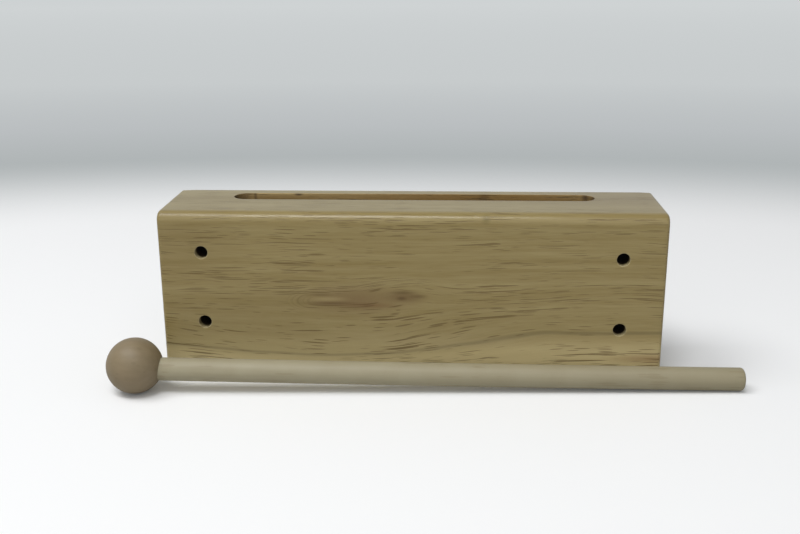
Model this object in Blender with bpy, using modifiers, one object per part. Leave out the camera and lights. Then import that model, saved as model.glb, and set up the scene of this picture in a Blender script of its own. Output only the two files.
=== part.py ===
"""Slotted wood block, the percussion instrument called caja china, with its wooden beater.

Metres, +Z up. The block stands on its base, slot upwards, with its broad front face towards -Y.
The origin is the centre of the block's base. The beater lies on the same floor in front of the
block, head to the left, and its parts hang from an empty at the centre of the head.
"""

from math import asin, atan2, cos, hypot, pi, radians, sin, sqrt, tan

import bmesh
import bpy

# Block: hardwood moulded with rounded long edges, then cut to length
block_length = 0.200
block_depth = 0.044
block_height = 0.070
long_edge_radius = 0.004
end_edge_radius = 0.0015

# Slot: routed down from the top, with solid wood left at its ends, behind it and below it
slot_end_wall = 0.0256
slot_back_wall = 0.0096
slot_width = 0.0108
slot_depth = 0.050

# Holes: two at each end, bored right through from front to back
hole_diameter = 0.0052
hole_end_distance = 0.0171
hole_pitch = 0.029
left_hole_drop = 0.0163
right_hole_drop = 0.0178

# Beater head: a turned ball, bored for the stick a little off its centre
head_diameter = 0.0222
bore_depth = 0.014
bore_offset = 0.0012
drill_point_angle = radians(118)

# Beater stick: a dowel with a chamfered seat and a rounded grip end
stick_diameter = 0.0092
stick_reach = 0.2408
grip_end_radius = 0.0014
seat_chamfer = 0.0006
seat_clearance = 0.0003

# How the beater lies: along the front face, with its grip end next to the block
beater_yaw = radians(2.5)
head_overhang = 0.0086
stick_gap = 0.0006

# Fineness of the curved faces
long_edge_segments = 6
end_edge_segments = 3
slot_end_segments = 16
hole_segments = 32
turning_steps = 40
ball_segments = 24
rounding_segments = 5

eased_edge_angle = radians(60)
smooth_angle = radians(30)
merge_distance = 0.00001
cut_margin = 0.005


def new_collection(name):
    collection = bpy.data.collections.new(name)
    bpy.context.scene.collection.children.link(collection)
    return collection


def wood(name, red, green, blue, roughness):
    """Principled material for one piece of wood, from its sRGB colour."""
    srgb = (red, green, blue)
    linear = [((c + 0.055) / 1.055) ** 2.4 for c in srgb]
    material = bpy.data.materials.new(name)
    material.use_nodes = True
    shader = material.node_tree.nodes["Principled BSDF"]
    shader.inputs["Base Color"].default_value = (*linear, 1.0)
    shader.inputs["Roughness"].default_value = roughness
    shader.inputs["Metallic"].default_value = 0.0
    material.diffuse_color = (*linear, 1.0)
    return material


def add_object(name, mesh, collection, material=None):
    piece = bpy.data.objects.new(name, mesh)
    collection.objects.link(piece)
    if material:
        mesh.materials.append(material)
    return piece


def add_cutter(name, mesh, collection):
    cutter = add_object(name, mesh, collection)
    cutter.hide_render = True
    cutter.display_type = "WIRE"
    return cutter


def cut(piece, cutter):
    """Leaves a live Boolean on the piece that takes the cutter away."""
    boolean = piece.modifiers.new(cutter.name, "BOOLEAN")
    boolean.operation = "DIFFERENCE"
    boolean.solver = "EXACT"
    boolean.object = cutter


def arc(centre_r, centre_z, radius, start, end, segments):
    """Points (r, z) along an arc, angles from the +r axis towards +z."""
    points = []
    for i in range(segments + 1):
        angle = start + (end - start) * i / segments
        points.append((centre_r + radius * cos(angle), centre_z + radius * sin(angle)))
    return points


def turned_mesh(name, profile, steps):
    """Turns a profile of (r, z) points, from the top down the outer side, about the Z axis."""
    mesh = bpy.data.meshes.new(name)
    edges = [(i, i + 1) for i in range(len(profile) - 1)]
    mesh.from_pydata([(r, 0.0, z) for r, z in profile], edges, [])
    turning = bpy.data.objects.new(name + "_profile", mesh)
    bpy.context.scene.collection.objects.link(turning)
    screw = turning.modifiers.new("turning", "SCREW")
    screw.axis = "Z"
    screw.steps = steps
    screw.render_steps = steps
    screw.use_merge_vertices = True
    screw.merge_threshold = merge_distance
    return take_mesh(turning, name)


def take_mesh(source, name):
    """The evaluated mesh of an object that is only a step on the way, which is then removed."""
    bpy.context.view_layer.update()
    evaluated = source.evaluated_get(bpy.context.evaluated_depsgraph_get())
    mesh = bpy.data.meshes.new_from_object(evaluated)
    mesh.name = name
    solid = bmesh.new()
    solid.from_mesh(mesh)
    bmesh.ops.remove_doubles(solid, verts=solid.verts, dist=merge_distance)
    solid.to_mesh(mesh)
    solid.free()
    mesh.transform(source.matrix_world)
    leftover = source.data
    bpy.data.objects.remove(source)
    bpy.data.batch_remove([leftover])
    return mesh


def shade_smooth(piece):
    piece.data.shade_smooth()
    piece.data.set_sharp_from_angle(angle=smooth_angle)


def block_blank():
    """Rectangular stock centred on X and Y, with a bevel weight on its four long edges."""
    stock = bmesh.new()
    bmesh.ops.create_cube(stock, size=1.0)
    bmesh.ops.scale(stock, vec=(block_length, block_depth, block_height), verts=stock.verts)
    bmesh.ops.translate(stock, vec=(0.0, 0.0, block_height / 2), verts=stock.verts)
    weight = stock.edges.layers.float.new("bevel_weight_edge")
    for edge in stock.edges:
        first, second = edge.verts
        if abs(first.co.x - second.co.x) > block_length / 2:
            edge[weight] = 1.0
    mesh = bpy.data.meshes.new("block")
    stock.to_mesh(mesh)
    stock.free()
    return mesh


def slot_cutter_mesh():
    """The path of the router: a flat outline with round ends, as deep as the slot and proud above."""
    radius = slot_width / 2
    reach = block_length / 2 - slot_end_wall - radius
    middle = block_depth / 2 - slot_back_wall - radius
    right = arc(reach, middle, radius, -pi / 2, pi / 2, slot_end_segments)
    left = arc(-reach, middle, radius, pi / 2, 3 * pi / 2, slot_end_segments)
    outline = bpy.data.curves.new("slot_outline", "CURVE")
    outline.dimensions = "2D"
    outline.fill_mode = "BOTH"
    outline.extrude = (slot_depth + cut_margin) / 2
    spline = outline.splines.new("POLY")
    spline.points.add(len(right) + len(left) - 1)
    for point, (x, y) in zip(spline.points, right + left):
        point.co = (x, y, 0.0, 1.0)
    spline.use_cyclic_u = True
    path = bpy.data.objects.new("slot_outline", outline)
    bpy.context.scene.collection.objects.link(path)
    path.location.z = block_height - slot_depth + outline.extrude
    return take_mesh(path, "slot_cutter")


def hole_cutter_mesh():
    """A straight drill along Y, longer than the block is deep."""
    drill = bmesh.new()
    bmesh.ops.create_cone(
        drill,
        cap_ends=True,
        segments=hole_segments,
        radius1=hole_diameter / 2,
        radius2=hole_diameter / 2,
        depth=block_depth + 2 * cut_margin,
    )
    mesh = bpy.data.meshes.new("hole_cutter")
    drill.to_mesh(mesh)
    drill.free()
    return mesh


def make_block(parts, cutters):
    material = wood("lacquered_hardwood", 0.55, 0.49, 0.31, 0.35)
    block = add_object("block", block_blank(), parts, material)

    moulding = block.modifiers.new("long_edges", "BEVEL")
    moulding.limit_method = "WEIGHT"
    moulding.width = long_edge_radius
    moulding.segments = long_edge_segments

    easing = block.modifiers.new("end_edges", "BEVEL")
    easing.limit_method = "ANGLE"
    easing.angle_limit = eased_edge_angle
    easing.width = end_edge_radius
    easing.segments = end_edge_segments

    cut(block, add_cutter("slot_cutter", slot_cutter_mesh(), cutters))

    drill = hole_cutter_mesh()
    for side, sign, drop in (("left", -1, left_hole_drop), ("right", 1, right_hole_drop)):
        for row, lower in (("upper", 0.0), ("lower", hole_pitch)):
            hole = add_cutter(f"{side}_{row}_hole_cutter", drill, cutters)
            hole.location.x = sign * (block_length / 2 - hole_end_distance)
            hole.location.z = block_height - drop - lower
            hole.rotation_euler.x = pi / 2
            cut(block, hole)

    shade_smooth(block)


def lie_of_beater():
    """Place of the head's centre, and the stick's dip, with the head and the grip end on the floor."""
    head_radius = head_diameter / 2
    stick_radius = stick_diameter / 2
    head_x = -block_length / 2 - head_overhang
    nearest_y = -block_depth / 2 - stick_gap - stick_radius / cos(beater_yaw)
    head_y = nearest_y - (block_length / 2 - head_x) * tan(beater_yaw)
    contact = stick_reach - grip_end_radius
    below = bore_offset + stick_radius
    dip = asin(head_radius / hypot(contact, below)) - atan2(below, contact)
    return (head_x, head_y, head_radius), dip


def make_beater(parts, cutters):
    """Head and stick, both turned about the empty's X axis and held at its origin."""
    centre, dip = lie_of_beater()
    beater = bpy.data.objects.new("beater", None)
    beater.empty_display_size = head_diameter
    parts.objects.link(beater)
    beater.location = centre
    beater.rotation_euler = (0.0, dip, beater_yaw)

    head_radius = head_diameter / 2
    stick_radius = stick_diameter / 2
    bore_radius = stick_radius + seat_clearance
    bore_mouth = sqrt(head_radius**2 - bore_offset**2)
    bore_floor = bore_mouth - bore_depth
    point_length = bore_radius / tan(drill_point_angle / 2)

    ball = arc(0.0, 0.0, head_radius, pi / 2, -pi / 2, ball_segments)
    ball[0] = (0.0, head_radius)
    ball[-1] = (0.0, -head_radius)
    head_material = wood("sanded_hardwood", 0.52, 0.46, 0.37, 0.6)
    head = add_object("beater_head", turned_mesh("beater_head", ball, turning_steps), parts, head_material)

    bore = [
        (0.0, head_radius + cut_margin),
        (bore_radius, head_radius + cut_margin),
        (bore_radius, bore_floor),
        (0.0, bore_floor - point_length),
    ]
    bore_cutter = add_cutter("bore_cutter", turned_mesh("bore_cutter", bore, turning_steps), cutters)
    cut(head, bore_cutter)

    rounding_r = stick_radius - grip_end_radius
    rounding_z = stick_reach - grip_end_radius
    rounding = arc(rounding_r, rounding_z, grip_end_radius, pi / 2, 0.0, rounding_segments)
    seat_end = bore_floor + seat_clearance
    stick_profile = [
        (0.0, stick_reach),
        *rounding,
        (stick_radius, seat_end + seat_chamfer),
        (stick_radius - seat_chamfer, seat_end),
        (0.0, seat_end),
    ]
    stick_material = wood("bare_hardwood_dowel", 0.62, 0.59, 0.49, 0.7)
    stick_mesh = turned_mesh("beater_stick", stick_profile, turning_steps)
    stick = add_object("beater_stick", stick_mesh, parts, stick_material)

    for piece, offset in ((head, 0.0), (bore_cutter, bore_offset), (stick, bore_offset)):
        piece.parent = beater
        piece.rotation_euler.y = pi / 2
        piece.location.z = -offset
    for piece in (head, stick):
        shade_smooth(piece)


def main():
    for leftover in list(bpy.data.objects):
        bpy.data.objects.remove(leftover)
    parts = new_collection("caja_china")
    cutters = new_collection("cutters")
    make_block(parts, cutters)
    make_beater(parts, cutters)


main()
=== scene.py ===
"""Slotted wood block, the instrument called caja china, with its ball-headed beater.

Metres, +Z up. The origin is the centre of the block's base, the block's broad front face looks
towards -Y, and the beater lies on the same floor in front of it with its head to the left.
"""

import bmesh
import bpy
import numpy as np
from mathutils import Matrix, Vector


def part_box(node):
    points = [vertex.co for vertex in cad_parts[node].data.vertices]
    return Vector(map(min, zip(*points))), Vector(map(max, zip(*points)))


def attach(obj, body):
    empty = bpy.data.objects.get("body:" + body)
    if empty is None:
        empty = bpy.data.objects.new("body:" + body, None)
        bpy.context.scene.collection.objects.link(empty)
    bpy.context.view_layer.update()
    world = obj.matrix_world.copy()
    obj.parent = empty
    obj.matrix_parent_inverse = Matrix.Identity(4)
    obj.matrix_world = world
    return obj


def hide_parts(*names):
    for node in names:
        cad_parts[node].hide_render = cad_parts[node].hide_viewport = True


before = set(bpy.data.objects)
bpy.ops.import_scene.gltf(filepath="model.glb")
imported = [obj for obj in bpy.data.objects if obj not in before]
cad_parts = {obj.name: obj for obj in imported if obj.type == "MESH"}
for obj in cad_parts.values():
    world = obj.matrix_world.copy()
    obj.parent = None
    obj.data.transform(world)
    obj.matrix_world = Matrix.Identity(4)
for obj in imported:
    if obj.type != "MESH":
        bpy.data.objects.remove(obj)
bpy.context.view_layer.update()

# Block
# One length of rubberwood, run through a moulder that rounds its long edges, cut to length and eased by
# hand at the ends. A router has sunk the slot, and a drill has gone right through four times. The outside
# has a satin lacquer, and the cuts are bare.

block_low, block_high = (np.array(corner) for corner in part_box("block"))
block_length, block_depth, block_height = block_high - block_low
long_edge_reach = 0.0048
long_edge_power = 2.48
end_edge_radius = 0.0015
sanding_depth = 0.00005
sanding_waves = (0.0071, 0.0183)
corner_depth = 0.0018
corner_reach = 0.006
slot_end_wall = 0.0256
slot_back_wall = 0.0096
slot_width = 0.0108
slot_depth = 0.050
slot_lip_radius = 0.00025
slot_floor_radius = 0.0006
hole_diameter = 0.0052
hole_end_distance = 0.0171
hole_pitch = 0.029
hole_lip_radius = 0.0002
left_hole_drop = 0.0163
right_hole_drop = 0.0178
face_step = 0.0016
edge_steps = 20
easing_steps = 6
cap_steps = 12
merge_distance = 1e-6
smooth_angle = np.radians(32)


def ring_mesh(name, rings):
    """A closed skin from rings of points. rings[i, j] joins rings[i + 1, j] and the next point of its own
    ring, whose last point joins its first. The end rings are drawn in to a point or a line and merge."""
    count, around = rings.shape[:2]
    ring, point = np.meshgrid(np.arange(count - 1), np.arange(around), indexing="ij")
    here = ring * around + point
    beside = ring * around + (point + 1) % around
    quads = np.stack([here, beside, beside + around, here + around], axis=-1).reshape(-1, 4)
    mesh = bpy.data.meshes.new(name)
    mesh.from_pydata(rings.reshape(-1, 3), [], quads)
    skin = bmesh.new()
    skin.from_mesh(mesh)
    bmesh.ops.remove_doubles(skin, verts=skin.verts, dist=merge_distance)
    bmesh.ops.recalc_face_normals(skin, faces=skin.faces)
    skin.to_mesh(mesh)
    skin.free()
    return mesh


def arc(start, end, steps):
    """Evenly spaced angles in radians, from start to end, which are in degrees."""
    return np.radians(np.linspace(start, end, steps + 1))


def moulded_section(depth, height, reach, power, step, arc_steps):
    """The loop round the section in (y, z) about its centre, and the unit normals that point out of the
    wood. Each corner follows |u|^p + |v|^p = 1 on a square of side reach: flat where it leaves the faces
    and tightest half way, as sandpaper leaves a moulded edge."""
    corner = np.array([depth / 2 - reach, height / 2 - reach])
    signs = np.array([(1, 1), (-1, 1), (-1, -1), (1, -1), (1, 1)])
    places = []
    normals = []
    for quarter in range(4):
        turn = arc(90 * quarter, 90 * (quarter + 1), arc_steps)
        circle = np.stack([np.cos(turn), np.sin(turn)], axis=-1)
        rounding = np.sign(circle) * np.abs(circle) ** (2 / power)
        across = np.sign(circle) * np.abs(circle) ** (2 - 2 / power)
        across /= np.linalg.norm(across, axis=-1, keepdims=True)
        first, second = corner * signs[quarter], corner * signs[quarter + 1]
        first, second = first + reach * rounding, second + reach * rounding[-1]
        steps = int(np.ceil(np.abs(second - first[-1]).max() / step))
        along = (1 - np.cos(np.linspace(0, np.pi, steps + 1)[1:-1])) / 2
        places += [first, first[-1] + along[:, None] * (second - first[-1])]
        normals += [across, np.tile(across[-1], (steps - 1, 1))]
    return np.concatenate(places), np.concatenate(normals)


def moulded_skin():
    """The section carried along X. Near each end it draws in by the end's easing, a quarter round of
    inset r - sqrt(r^2 - t^2), and then shrinks to the middle of the end face. The rounded edges wander by
    a few hundredths of a millimetre, as sanding by hand leaves them: a sum of sines along X, never proud,
    in another phase on each edge. The corners of the back edges are rubbed off deeper, by the square of
    the nearness to the end. Both grow with bend, which is 0 on the faces and 1 half way round an edge."""
    place, normal = moulded_section(block_depth, block_height, long_edge_reach, long_edge_power,
                                    face_step, edge_steps)
    easing = arc(0, 90, easing_steps)[::-1]
    ease_x = block_length / 2 - end_edge_radius * (1 - np.cos(easing))
    ease_in = end_edge_radius * (1 - np.sin(easing))
    run = np.linspace(0, ease_x[0], int(block_length / 2 / face_step))[:-1]
    cap = np.linspace(1, 0, cap_steps + 1)[1:]
    half_x = np.concatenate([run, ease_x, np.full(len(cap), block_length / 2)])
    half_in = np.concatenate([np.zeros(len(run)), ease_in, np.full(len(cap), end_edge_radius)])
    half_scale = np.concatenate([np.ones(len(run) + len(ease_x)), cap])
    x = np.concatenate([-half_x[:0:-1], half_x])[:, None]
    inset = np.concatenate([half_in[:0:-1], half_in])[:, None]
    scale = np.concatenate([half_scale[:0:-1], half_scale])[:, None]
    bend = np.minimum(np.abs(normal[:, 0]), np.abs(normal[:, 1])) * np.sqrt(2)
    short_wave, long_wave = sanding_waves
    wander = 2 + np.sin(x / short_wave + 3 * normal[:, 0]) + np.sin(x / long_wave + 5 * normal[:, 1])
    corner = np.clip(1 - (block_length / 2 - np.abs(x)) / corner_reach, 0, 1) ** 2
    corner = corner_depth * corner * bend * (normal[:, 0] > 0)
    inward = inset + sanding_depth / 4 * wander * bend + corner
    y = (place[:, 0] - normal[:, 0] * inward) * scale
    z = (place[:, 1] - normal[:, 1] * inward) * scale + block_height / 2
    return np.stack([np.broadcast_to(x, y.shape), y, z], axis=-1)


def tool_skin(offsets, heights, radius, reach=0.0, sides=64, straight_steps=40):
    """The space that a turning tool clears: its outline is a circle, or two half circles and the straight
    sides between them where the tool travels to +-reach along X. offsets widen the outline at each height,
    and the two ends shrink to the travel line."""
    turn = arc(-90, 90, sides // 2)
    straight = np.linspace(reach, -reach, straight_steps + 1)[1:-1] if reach else np.zeros(0)
    travel = np.concatenate([np.full(len(turn), reach), straight, np.full(len(turn), -reach), -straight])
    angle = np.concatenate([turn, np.full(len(straight), np.pi / 2), turn + np.pi])
    angle = np.concatenate([angle, np.full(len(straight), -np.pi / 2)])
    width = np.concatenate([[0.0], radius + np.asarray(offsets), [0.0]])[:, None]
    height = np.concatenate([heights[:1], heights, heights[-1:]])[:, None]
    x = travel + width * np.cos(angle)
    return np.stack([x, width * np.sin(angle), np.broadcast_to(height, x.shape)], axis=-1)


def lip(radius, surface, degrees=75, steps=5):
    """Offsets and heights of an eased edge: the wall curves outwards over the last radius below the
    surface, through the given degrees, and then runs straight on past it."""
    turn = arc(0, degrees, steps)
    past = 3 * radius
    offsets = radius * (1 - np.cos(turn))
    heights = surface - radius * (1 - np.sin(turn))
    offsets = np.append(offsets, offsets[-1] + past * np.sin(turn[-1]))
    return offsets, np.append(heights, heights[-1] + past * np.cos(turn[-1]))


def slot_tool():
    """The router's path: a flat floor with a small radius round it, upright walls and an eased lip."""
    floor_turn = arc(0, 90, steps=4)
    floor = block_height - slot_depth
    lip_offsets, lip_heights = lip(slot_lip_radius, block_height)
    offsets = np.concatenate([slot_floor_radius * (np.sin(floor_turn) - 1), lip_offsets])
    heights = np.concatenate([floor + slot_floor_radius * (1 - np.cos(floor_turn)), lip_heights])
    reach = block_length / 2 - slot_end_wall - slot_width / 2
    skin = tool_skin(offsets, heights, slot_width / 2, reach)
    return skin + np.array([0.0, block_depth / 2 - slot_back_wall - slot_width / 2, 0.0])


def hole_tool(x, z):
    """The drill's path through the block, eased at both faces, turned so that its own Z lies along Y."""
    offsets, heights = lip(hole_lip_radius, block_depth / 2)
    offsets = np.concatenate([offsets[::-1], offsets])
    heights = np.concatenate([-heights[::-1], heights])
    skin = tool_skin(offsets, heights, hole_diameter / 2)
    return np.stack([skin[..., 0] + x, skin[..., 2], skin[..., 1] + z], axis=-1)


def cut_away(blank, tools):
    """Takes each tool's space out of the blank, and gives the cut faces the tool's material. Points of the
    cut edges that fall on one place merge, so that no face is left without area."""
    for tool in tools:
        cut = blank.modifiers.new(tool.name, "BOOLEAN")
        cut.operation = "DIFFERENCE"
        cut.solver = "EXACT"
        cut.material_mode = "TRANSFER"
        cut.object = tool
    bpy.context.view_layer.update()
    finished = bpy.data.meshes.new_from_object(blank.evaluated_get(bpy.context.evaluated_depsgraph_get()))
    skin = bmesh.new()
    skin.from_mesh(finished)
    bmesh.ops.remove_doubles(skin, verts=skin.verts, dist=merge_distance)
    bmesh.ops.dissolve_degenerate(skin, edges=skin.edges, dist=merge_distance)
    skin.to_mesh(finished)
    skin.free()
    blank.modifiers.clear()
    blank.data = finished
    for tool in tools:
        bpy.data.objects.remove(tool)
    blank.data.shade_smooth()
    blank.data.set_sharp_from_angle(angle=smooth_angle)


def add_piece(name, mesh, material):
    piece = bpy.data.objects.new(name, mesh)
    bpy.context.scene.collection.objects.link(piece)
    mesh.materials.append(material)
    return piece


def paint(code):
    """Linear RGBA from an sRGB hex code."""
    srgb = np.array([int(code[i:i + 2], 16) for i in (1, 3, 5)]) / 255
    linear = np.where(srgb <= 0.04045, srgb / 12.92, ((srgb + 0.055) / 1.055) ** 2.4)
    return (*linear.tolist(), 1.0)


def node(tree, kind, settings=None, inputs=None, stops=None):
    """Adds a shader node. settings are its attributes, inputs give a socket a value, a socket or a node
    whose first live output is meant, and stops are the (place, colour) pairs of a colour ramp."""
    made = tree.nodes.new("ShaderNode" + kind)
    for name, value in (settings or {}).items():
        setattr(made, name, value)
    for key, value in (inputs or {}).items():
        if isinstance(value, bpy.types.Node):
            value = next(output for output in value.outputs if output.enabled)
        if isinstance(value, bpy.types.NodeSocket):
            tree.links.new(value, made.inputs[key])
        else:
            made.inputs[key].default_value = value
    for i, (place, colour) in enumerate(stops or ()):
        elements = made.color_ramp.elements
        stop = elements[i] if i < 2 else elements.new(place)
        stop.position, stop.color = place, colour
    return made


def new_material(name):
    """A material with an empty node tree, and the tree."""
    material = bpy.data.materials.new(name)
    material.use_nodes = True
    material.node_tree.nodes.clear()
    return material, material.node_tree


def bell(tree, position, centre, extent, peak):
    """A smooth bump that has its peak at the centre and is 0 from the extent on, both in millimetres."""
    local = node(tree, "Mapping", {"vector_type": "TEXTURE"},
                 {"Vector": position, "Location": centre, "Scale": extent})
    fall = node(tree, "TexGradient", {"gradient_type": "SPHERICAL"}, {"Vector": local})
    return node(tree, "MapRange", {"interpolation_type": "SMOOTHSTEP"}, {"Value": fall, "To Max": peak})


def streaks(tree, grain, length, width, detail=0.0):
    """Noise drawn out along the grain, its length and width in millimetres."""
    drawn = node(tree, "Mapping", {}, {"Vector": grain, "Scale": (1 / length, 1 / width, 1 / width)})
    return node(tree, "TexNoise", {}, {"Vector": drawn, "Scale": 1.0, "Detail": detail})


# Where the block's layers bend: each place pushes them up or down by so many millimetres at its centre
bends = (
    ((-40, -22, 11), (120, 90, 24), -8.5),
    ((90, -22, 36), (130, 90, 30), 5.0),
    ((-2, -22, 39), (24, 60, 9.5), 3.3),
)


def block_grain(tree, swing_height=2.4):
    """Position in millimetres, and the same with the grain laid straight: below the eye the layers sag, to
    the right they climb, above its tip they part once more, and everywhere they wander by a millimetre."""
    place = node(tree, "TexCoord")
    position = node(tree, "VectorMath", {"operation": "SCALE"},
                    {0: place.outputs["Object"], "Scale": 1000.0})
    lift = 0.0
    for centre, extent, push in bends:
        lift = node(tree, "Math", {"operation": "ADD"},
                    {0: lift, 1: bell(tree, position, centre, extent, push)})
    wander = streaks(tree, position, length=45.0, width=14.0, detail=2.0)
    centred = node(tree, "VectorMath", {"operation": "SUBTRACT"},
                   {0: wander.outputs["Color"], 1: (0.5, 0.5, 0.5)})
    swing = node(tree, "VectorMath", {"operation": "MULTIPLY"},
                 {0: centred, 1: (0.0, swing_height, swing_height)})
    down = node(tree, "CombineXYZ", {}, {"Z": lift})
    laid = node(tree, "VectorMath", {"operation": "SUBTRACT"}, {0: position, 1: down})
    return position, node(tree, "VectorMath", {"operation": "ADD"}, {0: laid, 1: swing})


def pore_lines(tree, grain, length, width, crowding, depth=1.0):
    """Pores cut along their length: thin dashes with pointed ends. Each lies round one point of a Voronoi
    pattern whose cells are length by width in millimetres. Its reach, in cells, is 0.8 of the crowding, a
    noise, and 0.3 of the cell's own random share, less 0.34 that keeps pores apart, so that the dashes
    come in clusters. Its edge is soft over 0.14 of a cell."""
    drawn = node(tree, "Mapping", {}, {"Vector": grain, "Scale": (1 / length, 1 / width, 1 / width)})
    cell = node(tree, "TexVoronoi", {"feature": "F1"}, {"Vector": drawn, "Scale": 1.0})
    chance = node(tree, "SeparateXYZ", {}, {"Vector": cell.outputs["Color"]})
    chance = node(tree, "Math", {"operation": "MULTIPLY_ADD"}, {0: chance.outputs["X"], 1: 0.3, 2: -0.34})
    reach = node(tree, "Math", {"operation": "MULTIPLY_ADD"}, {0: crowding, 1: 0.8, 2: chance})
    inside = node(tree, "Math", {"operation": "SUBTRACT"}, {0: reach, 1: cell.outputs["Distance"]})
    return node(tree, "MapRange", {"interpolation_type": "SMOOTHSTEP"},
                {"Value": inside, "From Min": 0.0, "From Max": 0.14, "To Max": depth})


# Growth layers to the millimetre along X, Y and Z: some 5 mm apart in height, and sinking to the back.
# The heights of the dark layer and of the pale wood under it, which is partly painted light, are taken on
# the front face, all in mm
layers_per_mm = (0.0, 0.08, 0.19)
dark_layer = 19.4
pale_wood_and_painted_fill = 17.0
front_face = 1000 * block_depth / 2


def rubberwood(name, straw, brown, pore, relief, patches, finish):
    """Rubberwood gives the eye growth layers a few millimetres apart, short dark pore lines in clusters,
    which show as dots on the ends, and fibres. Pores and fibres are finer than a pixel on the real block
    and drawn here about half a millimetre wide. relief is the pores' depth in metres, patches are
    (centre, extent, colour, share) marks in millimetres, and finish holds values for the shader."""
    material, tree = new_material(name)
    position, grain = block_grain(tree)

    # Growth layers cut nearly flat, soft streaks and fibres share the tone between them
    slant = node(tree, "VectorMath", {"operation": "DOT_PRODUCT"}, {0: grain, 1: layers_per_mm})
    layers = node(tree, "TexNoise", {"noise_dimensions": "1D"},
                  {"W": slant.outputs["Value"], "Scale": 1.0, "Detail": 3.0})
    soft = streaks(tree, grain, length=40.0, width=2.0, detail=2.0)
    fibres = streaks(tree, grain, length=10.0, width=0.45, detail=2.0)
    three = node(tree, "CombineXYZ", {}, {"X": layers, "Y": soft, "Z": fibres})
    shares = (0.42, 0.31, 0.27)
    mixed = node(tree, "VectorMath", {"operation": "DOT_PRODUCT"}, {0: three, 1: shares})
    tone = node(tree, "MapRange", {}, {"Value": mixed.outputs["Value"], "From Min": 0.35, "From Max": 0.65})
    colour = node(tree, "Mix", {"data_type": "RGBA"}, {0: tone, 6: paint(straw), 7: paint(brown)})

    for centre, extent, tint, share in patches:
        colour = node(tree, "Mix", {"data_type": "RGBA"},
                      {0: bell(tree, position, centre, extent, share), 6: colour, 7: paint(tint)})

    # One darker layer, about a millimetre thick, climbs to the right in a long curve. height is the height
    # at which a layer meets the front face
    into, up = layers_per_mm[1:]
    height = node(tree, "Math", {"operation": "MULTIPLY_ADD"},
                  {0: slant.outputs["Value"], 1: 1 / up, 2: front_face * into / up})
    # Low down the wood is up to 1.12 times as bright: partly paler wood, partly painted light against the
    # beater's shade on the lower front
    below = node(tree, "MapRange", {}, {"Value": height, "From Min": pale_wood_and_painted_fill, "From Max": pale_wood_and_painted_fill + 2.0,
                                        "To Min": 1.12, "To Max": 1.0})
    apart = node(tree, "Math", {"operation": "SUBTRACT"}, {0: height, 1: dark_layer})
    apart = node(tree, "Math", {"operation": "ABSOLUTE"}, {0: apart})
    line = node(tree, "MapRange", {}, {"Value": apart, "From Min": 0.2, "From Max": 0.8,
                                       "To Min": 0.78, "To Max": 1.0})
    shade = node(tree, "Math", {"operation": "MULTIPLY"}, {0: below, 1: line})

    # End grain drinks the lacquer and is darker
    facing = node(tree, "TexCoord")
    facing = node(tree, "SeparateXYZ", {}, {"Vector": facing.outputs["Normal"]})
    facing = node(tree, "Math", {"operation": "ABSOLUTE"}, {0: facing.outputs["X"]})
    ends = node(tree, "MapRange", {}, {"Value": facing, "From Min": 0.6, "From Max": 0.95,
                                       "To Min": 1.0, "To Max": 0.84})
    shade = node(tree, "Math", {"operation": "MULTIPLY"}, {0: shade, 1: ends})
    colour = node(tree, "VectorMath", {"operation": "SCALE"}, {0: colour, "Scale": shade})

    # The eye's left end is ringed by dark arcs, a millimetre or two apart
    centred = node(tree, "Mapping", {"vector_type": "TEXTURE"},
                   {"Vector": position, "Location": (-24, -22, 34), "Scale": (24, 60, 5.6)})
    oval = node(tree, "VectorMath", {"operation": "LENGTH"}, {0: centred})
    arcs = node(tree, "TexNoise", {"noise_dimensions": "1D"},
                {"W": oval.outputs["Value"], "Scale": 11.0, "Detail": 2.0})
    arcs = node(tree, "MapRange", {}, {"Value": arcs, "From Min": 0.46, "From Max": 0.66})
    left_end = bell(tree, position, (-44.5, -22, 34.5), (7, 60, 8), 0.5)
    ringed = node(tree, "Math", {"operation": "MULTIPLY"}, {0: arcs, 1: left_end})
    colour = node(tree, "Mix", {"data_type": "RGBA"}, {0: ringed, 6: colour, 7: paint("#5F4E28")})

    # Pores: long ones, short ones between them, and more of both low down. They hide 0.72 of the wood
    crowding = streaks(tree, grain, length=40.0, width=4.0, detail=3.0)
    closer = node(tree, "MapRange", {}, {"Value": height, "From Min": 42.0, "From Max": 12.0,
                                         "To Max": 0.09})
    crowding = node(tree, "Math", {"operation": "ADD"}, {0: crowding, 1: closer})
    long_pores = pore_lines(tree, grain, length=36.0, width=0.6, crowding=crowding)
    short_pores = pore_lines(tree, grain, length=12.0, width=0.5, crowding=crowding, depth=0.8)
    pores = node(tree, "Math", {"operation": "MAXIMUM"}, {0: long_pores, 1: short_pores})
    dark = node(tree, "Math", {"operation": "MULTIPLY"}, {0: pores, 1: 0.72})
    colour = node(tree, "Mix", {"data_type": "RGBA"}, {0: dark, 6: colour, 7: paint(pore)})

    # Relief: the pores are open, the fibres stand a little, and the face ripples every millimetre or so
    ripple = node(tree, "TexNoise", {}, {"Vector": position, "Scale": 0.8, "Detail": 1.0})
    ripple = node(tree, "Math", {"operation": "MULTIPLY"}, {0: ripple, 1: 1.2})
    swelling = node(tree, "Math", {"operation": "MULTIPLY_ADD"}, {0: fibres, 1: 0.35, 2: ripple})
    surface = node(tree, "Math", {"operation": "SUBTRACT"}, {0: swelling, 1: pores})
    bump = node(tree, "Bump", {}, {"Height": surface, "Distance": relief, "Strength": 1.0})
    shader = node(tree, "BsdfPrincipled", {}, {"Base Color": colour, "Normal": bump, **finish})
    node(tree, "OutputMaterial", {}, {"Surface": shader})
    return material
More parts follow.
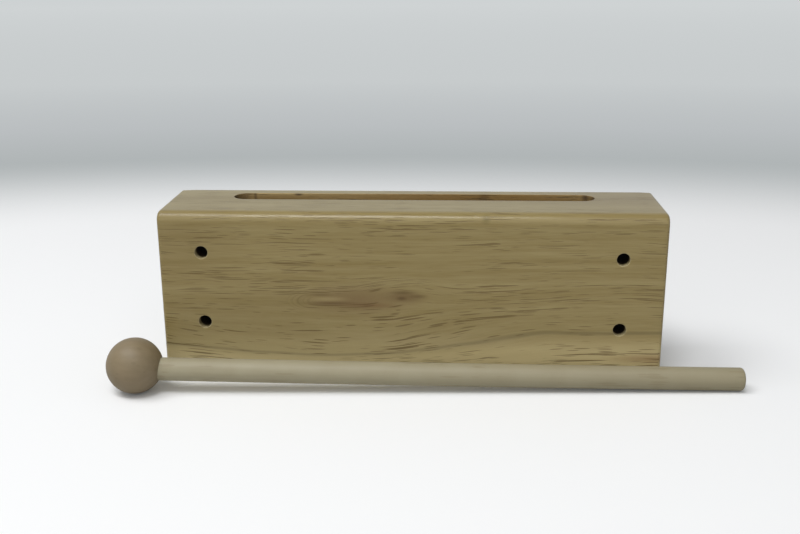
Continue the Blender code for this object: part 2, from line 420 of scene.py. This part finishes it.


# Marks of the growth: pale wood low down, partly sapwood and partly painted light against the beater's
# shade, browner places, the eye with its rims, tip and core, and last the small knot on the top edge
growth_marks_and_painted_fill = (
    # Pale wood along the bottom: partly sapwood, partly painted light that fills the beater's shade on the
    # lower front
    ((0, -22, 4), (900, 90, 20), "#C5B68A", 0.95),
    ((-92, -22, 58), (34, 60, 22), "#75633A", 0.30),
    ((-58, -22, 31), (60, 60, 14), "#77663A", 0.30),
    ((95, -22, 11), (22, 60, 3), "#7E5B38", 0.50),
    ((95, 10, 72), (75, 40, 13), "#7A6848", 0.45),
    ((-21, -22, 34.8), (32, 60, 9), "#79643F", 0.90),
    ((-33, -22, 34.9), (11, 60, 1.6), "#948358", 0.80),
    ((-31, -22, 33.1), (16, 60, 1.1), "#624D2B", 0.80),
    ((-16, -22, 32.3), (16, 60, 1.7), "#72552F", 0.60),
    ((-36, -22, 36.6), (8, 60, 1.0), "#6B5833", 0.70),
    ((-2, -22, 36), (12, 40, 3.8), "#6C5632", 0.80),
    ((-3, -22, 37.8), (7, 60, 1.0), "#5A4724", 0.65),
    ((3, -22, 36.3), (5, 60, 1.1), "#5A4724", 0.50),
    ((-3.5, -22, 35.4), (3.0, 30, 1.3), "#4E3A1A", 0.60),
    ((29.5, -10, 67.8), (2.6, 60, 2.3), "#75683A", 0.90),
)

# A thin satin lacquer, sprayed: a soft bright line along the rounded edge, a faint sheen on top, and pores
# that still show as fine grooves
satin_lacquer = {"Roughness": 0.28, "IOR": 1.5, "Specular IOR Level": 0.38}
lacquered_rubberwood = rubberwood("rubberwood_satin_lacquered", straw="#96875B", brown="#837244",
                                  pore="#5B4621", relief=0.00003, patches=growth_marks_and_painted_fill,
                                  finish=satin_lacquer)

# The router leaves the slot bare, rough and browned by heat, most of all right of the middle. It is burnt
# at the knot and where the cutter paused near the left end. Both round ends of the slot are darkened as
# painted shade
burns_and_painted_end_shade = (
    ((28, 7, 70), (75, 60, 60), "#7B5B21", 0.75),
    ((29.5, 12.4, 70), (3.5, 4, 6), "#543B14", 0.6),
    # The next two: painted shade in the left round end
    ((-76, 7, 70), (4.5, 20, 12), "#2A1D0E", 1.0),
    ((-71, 12, 70), (4, 6, 12), "#5A4424", 0.7),
    ((-66.8, 7, 70), (1.2, 20, 12), "#463318", 0.8),
    ((-48.5, 12.4, 69.6), (3, 3, 0.8), "#3A2A14", 0.9),
    # The last two: painted shade in the right round end
    ((71.5, 12, 69), (2.6, 6, 3), "#3E2A10", 0.9),
    ((75, 7, 70), (2.5, 20, 12), "#3E2A10", 0.9),
)
bare = {"Roughness": 0.65, "IOR": 1.5}
routed_rubberwood = rubberwood("rubberwood_routed_bare", straw="#A78F5E", brown="#806738",
                               pore="#44320F", relief=0.00008, patches=burns_and_painted_end_shade, finish=bare)

# The bores are darkened inside as painted shade, but not at their mouths, whose bare wood is pale and
# lightened further as painted light where light reaches the lower wall. The share is past 1, so that the
# painted shade is full from 3.5 mm behind either face
painted_bore_shade = ((0, 0, 35), (9000, 20.5, 9000), "#271A0C", 40.0)
drilled_rubberwood = rubberwood("rubberwood_drilled_bare", straw="#A79B76", brown="#9A8C64",
                                pore="#5E4925", relief=0.00008, patches=(painted_bore_shade,), finish=bare)

block = add_piece("block_wood", ring_mesh("block_wood", moulded_skin()), lacquered_rubberwood)
tools = [add_piece("router", ring_mesh("router", slot_tool()), routed_rubberwood)]
hole_x = block_length / 2 - hole_end_distance
for x, drop in ((-hole_x, left_hole_drop), (hole_x, right_hole_drop)):
    for z in (block_height - drop, block_height - drop - hole_pitch):
        tools.append(add_piece("drill", ring_mesh("drill", hole_tool(x, z)), drilled_rubberwood))
cut_away(block, tools)
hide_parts("block")
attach(block, "block")

# Beater head
# A ball turned from the same wood, sanded but left bare, and bored for the stick a little below its
# middle. The end grain shows towards the stick, and handling has greyed it.

head_radius = 0.0111
bore_offset = 0.0012
bore_depth = 0.014
drill_point = 0.6
stick_radius = 0.0046
glue_gap = 0.00012
round_sides = 96
beater_yaw = np.radians(2.5)
beater_dip = np.radians(1.2641)
head_centre = np.array(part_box("beater_head")[0]) + head_radius


def lay_on_floor(points, offset=0.0):
    """Turns points from the lathe's frame, axis Z, to where the beater lies. The axis points along the front
    face and dips, so that head and grip end both rest on the floor. offset drops it below the head's
    centre."""
    dip, yaw = beater_dip, beater_yaw
    along = np.array([np.cos(dip) * np.cos(yaw), np.cos(dip) * np.sin(yaw), -np.sin(dip)])
    aside = np.array([-np.sin(yaw), np.cos(yaw), 0.0])
    up = np.cross(along, aside)
    across = points[..., :1] * aside + (points[..., 1:2] - offset) * up
    return head_centre + points[..., 2:] * along + across


def turned(profile_radius, profile_height, sides):
    """A profile turned about Z: each ring is a circle of the profile's radius at its height."""
    turn = np.linspace(0, 2 * np.pi, sides, endpoint=False)
    x = profile_radius[:, None] * np.cos(turn)
    y = profile_radius[:, None] * np.sin(turn)
    return np.stack([x, y, np.broadcast_to(profile_height[:, None], x.shape)], axis=-1)


latitude = arc(-90, 90, steps=64)
ball = turned(head_radius * np.cos(latitude), head_radius * np.sin(latitude), round_sides)

# The bore is a straight hole. Its drill point of 118 degrees is 0.6 of its radius deep, and its tool ends
# well outside the ball
bore_radius = stick_radius + glue_gap
bore_floor = np.sqrt(head_radius**2 - bore_offset**2) - bore_depth
outside = 1.5 * head_radius
bore_profile = np.array([0.0, bore_radius, bore_radius, 0.0])
bore_heights = np.array([bore_floor - bore_radius * drill_point, bore_floor, outside, outside])
bore = turned(bore_profile, bore_heights, round_sides)


def beater_wood(name, pale, dark, fleck, flecked, stretch, grip_painted_shade, finish):
    """Bare wood whose fibres run along the stick: faint streaks, flecks where pores are cut, and a soft
    change of tone from place to place. flecked is the share of the fleck's colour, stretch is a streak's
    length and width in millimetres. The share given for the grip is that of a darker colour painted in as
    shade where the light falls off towards the grip end, growing from 60 mm from the head's centre to the
    end."""
    material, tree = new_material(name)
    place = node(tree, "TexCoord")
    turned_back = node(tree, "Mapping", {"vector_type": "TEXTURE"},
                       {"Vector": place.outputs["Object"], "Location": head_centre.tolist(),
                        "Rotation": (0.0, beater_dip, beater_yaw), "Scale": (0.001, 0.001, 0.001)})
    length, width = stretch
    fibres = streaks(tree, turned_back, length, width, detail=3.0)
    soft = node(tree, "TexNoise", {}, {"Vector": turned_back, "Scale": 0.11, "Detail": 2.0})
    flecks = pore_lines(tree, turned_back, 0.4 * length, width, crowding=soft, depth=flecked)
    mixed = node(tree, "Math", {"operation": "MULTIPLY_ADD"}, {0: soft, 1: 0.6, 2: -0.05})
    mixed = node(tree, "Math", {"operation": "MULTIPLY_ADD"}, {0: fibres, 1: 0.5, 2: mixed})
    tone = node(tree, "MapRange", {}, {"Value": mixed, "From Min": 0.3, "From Max": 0.7})
    ground = node(tree, "Mix", {"data_type": "RGBA"}, {0: tone, 6: paint(pale), 7: paint(dark)})
    along = node(tree, "SeparateXYZ", {}, {"Vector": turned_back})
    # Towards the grip end a darker colour is mixed in: painted shade for the light falling off along the
    # stick
    grip_shade_mask = node(tree, "MapRange", {}, {"Value": along.outputs["X"], "From Min": 60.0, "From Max": 240.0,
                                       "To Max": grip_painted_shade})
    ground = node(tree, "Mix", {"data_type": "RGBA"}, {0: grip_shade_mask, 6: ground, 7: paint("#847A5E")})
    colour = node(tree, "Mix", {"data_type": "RGBA"}, {0: flecks, 6: ground, 7: paint(fleck)})
    grit = node(tree, "TexNoise", {}, {"Vector": turned_back, "Scale": 2.5, "Detail": 2.0})
    surface = node(tree, "Math", {"operation": "SUBTRACT"}, {0: grit, 1: flecks})
    bump = node(tree, "Bump", {}, {"Height": surface, "Distance": 0.00003, "Strength": 1.0})
    shader = node(tree, "BsdfPrincipled", {}, {"Base Color": colour, "Normal": bump, **finish})
    node(tree, "OutputMaterial", {}, {"Surface": shader})
    return material


# Sanded on the lathe and never sealed: nearly matt, grey-brown, with faint short streaks
sanded = {"Roughness": 0.5, "IOR": 1.45}
turned_rubberwood = beater_wood("rubberwood_turned_and_sanded", pale="#86775D", dark="#7A6C52",
                                fleck="#5F5038", flecked=0.15, stretch=(9.0, 2.2), grip_painted_shade=0.0,
                                finish=sanded)
head = add_piece("beater_ball", ring_mesh("beater_ball", lay_on_floor(ball)), turned_rubberwood)
bore_tool = add_piece("bore", ring_mesh("bore", lay_on_floor(bore, bore_offset)), turned_rubberwood)
cut_away(head, [bore_tool])
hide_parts("beater_head")
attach(head, "beater")

# Beater stick
# A straight dowel of paler, finer hardwood, left bare, glued into the head and rounded off at the grip.
# It has set very slightly hollow, by a quarter of a millimetre in the middle.

stick_reach = 0.24076
grip_end_radius = 0.0014
seat_chamfer = 0.0006
seat_gap = 0.0003
stick_bow = 0.00028
shank_rings = 120
dowel_sides = 72

rounding = arc(0, 90, steps=8)
seat_end = bore_floor + seat_gap
shank = np.linspace(seat_end + seat_chamfer, stick_reach - grip_end_radius, shank_rings)
grip_rounding = stick_radius - grip_end_radius + grip_end_radius * np.cos(rounding)
profile = np.concatenate([[0.0, stick_radius - seat_chamfer], np.full(len(shank), stick_radius),
                          grip_rounding[1:], [0.0]])
along_stick = np.concatenate([[seat_end, seat_end], shank,
                              stick_reach - grip_end_radius + grip_end_radius * np.sin(rounding[1:]),
                              [stick_reach]])
dowel = turned(profile, along_stick, dowel_sides)

# The hollow is a parabola along the stick, 4 s (1 - s) of its depth at a share s of the way
share = np.clip(dowel[..., 2] / stick_reach, 0, 1)
dowel[..., 1] -= stick_bow * 4 * share * (1 - share)

# Cut by a dowel machine and left bare: matt, pale grey-yellow, with long faint streaks and a few flecks
planed = {"Roughness": 0.55, "IOR": 1.45}
# Its grip end is darkened by painted shade
dowel_wood = beater_wood("hardwood_dowel_bare", pale="#9E977E", dark="#968E74", fleck="#7C6E50",
                         flecked=0.3, stretch=(40.0, 1.4), grip_painted_shade=0.4, finish=planed)
stick = add_piece("beater_dowel", ring_mesh("beater_dowel", lay_on_floor(dowel, bore_offset)), dowel_wood)
stick.data.shade_smooth()
stick.data.set_sharp_from_angle(angle=smooth_angle)
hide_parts("beater_stick")
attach(stick, "beater")

# Floor and backdrop
# A white paper sweep. Round the object it takes the light and the shadows, and farther off it only shows
# the grey that the paper has where the lamps no longer reach it.

floor_half = 12.0
lit_reach = (0.25, 0.48)
lit_oval = (0.55, 1.0, 1.0)


def eye_rays(tree):
    """1 for the rays that show a surface to the eye, straight, mirrored or through glass, and else 0."""
    path = node(tree, "LightPath")
    shown = node(tree, "Math", {"operation": "ADD"},
                 {0: path.outputs["Is Camera Ray"], 1: path.outputs["Is Glossy Ray"]})
    return node(tree, "Math", {"operation": "ADD", "use_clamp": True},
                {0: shown, 1: path.outputs["Is Transmission Ray"]})


# Matt paper, white where the lamps light it. The distance in metres counts less along X, so the lit part is
# a long oval
paper, tree = new_material("paper_matt_white")
place = node(tree, "TexCoord")
narrowed = node(tree, "Mapping", {}, {"Vector": place.outputs["Object"], "Scale": lit_oval})
distance = node(tree, "VectorMath", {"operation": "LENGTH"}, {0: narrowed})
share = node(tree, "MapRange", {}, {"Value": distance.outputs["Value"], "From Min": 0.0, "From Max": 7.0})
grey = node(tree, "ValToRGB", {}, {"Fac": share}, [
    (0.067, paint("#B0B5B6")),
    (0.09, paint("#BABEC0")),
    (0.145, paint("#C7CBCC")),
    (0.475, paint("#CFD3D4")),
    (1.0, paint("#C6CBCD")),
])
shown = node(tree, "Emission", {}, {"Color": grey, "Strength": 1.0})

# The eye sees it white, with 0.08 of that grey even close by, and it throws a little less light back at the
# object
camera_ray = node(tree, "LightPath").outputs["Is Camera Ray"]
bounce = node(tree, "Mix", {"data_type": "RGBA"}, {0: camera_ray, 6: paint("#D6D6D6"), 7: paint("#FCFDFE")})
lit = node(tree, "BsdfDiffuse", {}, {"Color": bounce})
far = node(tree, "MapRange", {"interpolation_type": "SMOOTHSTEP"},
           {"Value": distance.outputs["Value"], "From Min": lit_reach[0], "From Max": lit_reach[1],
            "To Min": 0.08})
far = node(tree, "Math", {"operation": "MULTIPLY"}, {0: far, 1: eye_rays(tree)})
blend = node(tree, "MixShader", {}, {0: far, 1: lit, 2: shown})
node(tree, "OutputMaterial", {}, {"Surface": blend})

sweep = bpy.data.meshes.new("paper_sweep")
corners = np.array([(-1, -1, 0), (1, -1, 0), (1, 1, 0), (-1, 1, 0)]) * floor_half
sweep.from_pydata(corners, [], [(0, 1, 2, 3)])
add_piece("paper_sweep", sweep, paper)

# Light
# Three soft boxes: a small one above and in front, a second high on the left, which draws the shade on the
# right, and a large one far in front. A pale room fills in evenly from all sides.


def add_soft_box(name, place, target, size, energy):
    """A square lamp at a place that shines at a target."""
    back = (place - target) / np.linalg.norm(place - target)
    side = np.cross([0.0, 0.0, 1.0], back)
    side = side / np.linalg.norm(side)
    turn = np.column_stack([side, np.cross(back, side), back])
    light = bpy.data.lights.new(name, "AREA")
    light.size = size
    light.energy = energy
    lamp = bpy.data.objects.new(name, light)
    bpy.context.scene.collection.objects.link(lamp)
    lamp.matrix_world = Matrix.Translation(place.tolist()) @ Matrix(turn.tolist()).to_4x4()


middle = np.array([0.0, 0.0, 0.03])
for name, place, size, energy in (
    ("soft_box_above", (-0.18, -0.72, 1.6), 0.55, 10.0),
    ("soft_box_left", (-0.75, -0.25, 1.35), 0.7, 8.6),
    ("soft_box_front", (-0.1, -1.9, 1.35), 2.6, 15.8),
):
    add_soft_box(name, np.array(place), middle, size, energy)

# The room lights the object with a plain weak white. To the eye, and in gloss, its walls are as pale as the
# far paper, and its ceiling is darker
studio = bpy.data.worlds.new("studio_room")
bpy.context.scene.world = studio
studio.use_nodes = True
tree = studio.node_tree
tree.nodes.clear()
ambient = node(tree, "Background", {}, {"Color": paint("#FFFFFF"), "Strength": 0.28})
direction = node(tree, "TexCoord")
direction = node(tree, "SeparateXYZ", {}, {"Vector": direction.outputs["Generated"]})
overhead = node(tree, "MapRange", {"interpolation_type": "SMOOTHSTEP"},
                {"Value": direction.outputs["Z"], "From Min": 0.4, "From Max": 0.9})
room = node(tree, "Mix", {"data_type": "RGBA"}, {0: overhead, 6: paint("#C6CBCD"), 7: paint("#9DA1A3")})
walls = node(tree, "Background", {}, {"Color": room, "Strength": 1.0})
both = node(tree, "MixShader", {}, {0: eye_rays(tree), 1: ambient, 2: walls})
node(tree, "OutputWorld", {}, {"Surface": both})

# Camera
# Where the photograph was taken from, worked out from its perspective: 0.38 m in front of the block, nearly
# square to the front face, and looking down by about 17 degrees.

camera_place = (0.016126, -0.404889, 0.165139)
camera_yaw = np.radians(3.012)
camera_pitch = np.radians(16.921)
camera_roll = np.radians(0.340)
camera_data = bpy.data.cameras.new("camera")
camera_data.sensor_width = 36.0
camera_data.lens = 45.855
camera = bpy.data.objects.new("camera", camera_data)
bpy.context.scene.collection.objects.link(camera)
ahead = np.array([-np.sin(camera_yaw) * np.cos(camera_pitch),
                  np.cos(camera_yaw) * np.cos(camera_pitch), -np.sin(camera_pitch)])
level = np.array([np.cos(camera_yaw), np.sin(camera_yaw), 0.0])
below = np.cross(ahead, level)
right = level * np.cos(camera_roll) + below * np.sin(camera_roll)
down = below * np.cos(camera_roll) - level * np.sin(camera_roll)
camera.matrix_world = (Matrix.Translation(camera_place)
                       @ Matrix(np.column_stack([right, -down, -ahead]).tolist()).to_4x4())
bpy.context.scene.camera = camera
bpy.context.scene.view_settings.view_transform = "Standard"
